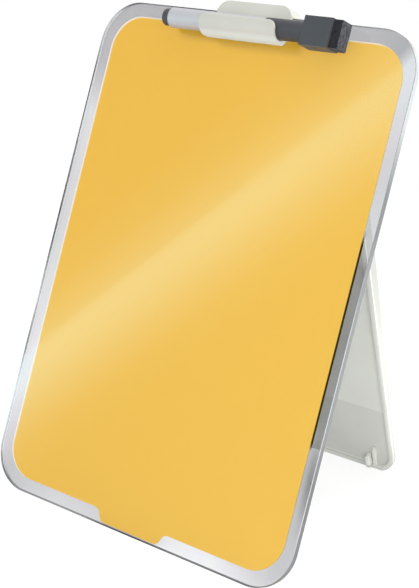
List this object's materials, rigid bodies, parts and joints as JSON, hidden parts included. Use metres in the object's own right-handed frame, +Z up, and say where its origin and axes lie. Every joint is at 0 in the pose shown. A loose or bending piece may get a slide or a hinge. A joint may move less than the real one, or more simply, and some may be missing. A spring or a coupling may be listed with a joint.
{
  "type": "magnetic desk whiteboard easel",
  "caption": "Leaning glass dry-wipe board with a coloured field, a fold-out easel stand behind it and a sprung top clip whose trough holds a capped pen with a felt eraser.",
  "frame": {"origin": "on the surface that the easel stands on, at the centre of its box in X and Y", "axes": "+Z is up, +X is to the right of someone facing the board, and the written face looks towards -Y and up"},
  "size_m": [0.226, 0.1686, 0.2953],
  "materials": {
    "clear_glass": "clear toughened glass with ground and polished edges",
    "colour_film": "glossy warm yellow seen through the glass",
    "bond_film": "clear adhesive film",
    "coated_steel": "satin pale coating",
    "foam_tape": "dark foam tape",
    "cream_plastic": "fine satin moulded plastic, warm off-white",
    "steel_pin": "drawn steel",
    "spring_wire": "bright spring wire",
    "silver_barrel": "satin silver",
    "dark_plastic": "satin dark grey plastic",
    "grey_plastic": "satin charcoal grey plastic",
    "reservoir_fibre": "wrapped fibre",
    "nib_felt": "dense felt, ink-soaked",
    "grey_felt": "dense dark grey felt"
  },
  "bodies": {
    "board": {"glass_panel": "clear_glass", "colour_layer": "colour_film", "bond_film": "bond_film", "steel_sheet": "coated_steel", "hinge_tape": "foam_tape", "hinge_base": "cream_plastic", "clip_tape": "foam_tape", "clip_base": "cream_plastic", "clip_pin": "steel_pin", "clip_spring": "spring_wire"},
    "stand": {"easel_stand": "cream_plastic", "hinge_pin_left": "steel_pin", "hinge_pin_right": "steel_pin"},
    "clip": {"pen_clip": "cream_plastic"},
    "pen": {"pen_barrel": "silver_barrel", "pen_end_plug": "dark_plastic", "ink_reservoir": "reservoir_fibre", "nib_holder": "dark_plastic", "pen_nib": "nib_felt"},
    "cap": {"pen_cap": "grey_plastic", "eraser_felt": "grey_felt"}
  },
  "joints": [
    {"name": "stand_hinge", "type": "hinge", "parent": "board", "child": "stand", "pos_m": [0, 0.02251, 0.22182], "axis": [-1, 0, 0], "range_deg": [0, 38.78]},
    {"name": "clip_hinge", "type": "hinge", "parent": "board", "child": "clip", "pos_m": [0, 0.04468, 0.28813], "axis": [-1, 0, 0], "range_deg": [0, 15], "stiffness_Nm_per_rad": 0.2, "springref_deg": -20.05, "deforming": ["clip_spring"]},
    {"name": "pen_slide", "type": "slide", "parent": "clip", "child": "pen", "axis": [1, 0, 0], "range_m": [-0.016, 0.095]},
    {"name": "cap_slide", "type": "slide", "parent": "pen", "child": "cap", "axis": [1, 0, 0], "range_m": [0, 0.03]}
  ]
}
